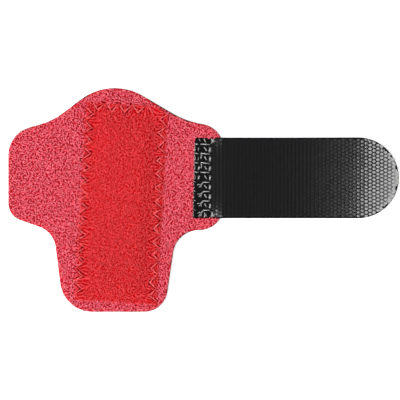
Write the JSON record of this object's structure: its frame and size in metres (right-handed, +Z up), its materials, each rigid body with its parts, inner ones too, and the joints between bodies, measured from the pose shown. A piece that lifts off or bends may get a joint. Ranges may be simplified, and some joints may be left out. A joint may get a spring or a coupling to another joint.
{
  "type": "finger splint",
  "caption": "Fabric wrap with a dome, two wings and a foot, a padded centre panel and a hook strap, laid open flat, for bracing one finger.",
  "frame": {"origin": "bottom centre of the bounding box, on the surface that the open splint lies on", "axes": "+X along the hook strap towards its round end, +Y from the foot to the dome, +Z up out of the side that touches the finger"},
  "size_m": [0.1208, 0.0694, 0.0081],
  "materials": {
    "wrap_laminate": "brushed loop fabric on dark foam",
    "panel_loop": "dense red loop pile",
    "hook_tape": "black nylon hook tape with a soft sheen"
  },
  "bodies": {
    "root": {"wrap": "wrap_laminate", "centre_panel": "panel_loop", "hook_strap": "hook_tape"}
  },
  "joints": []
}
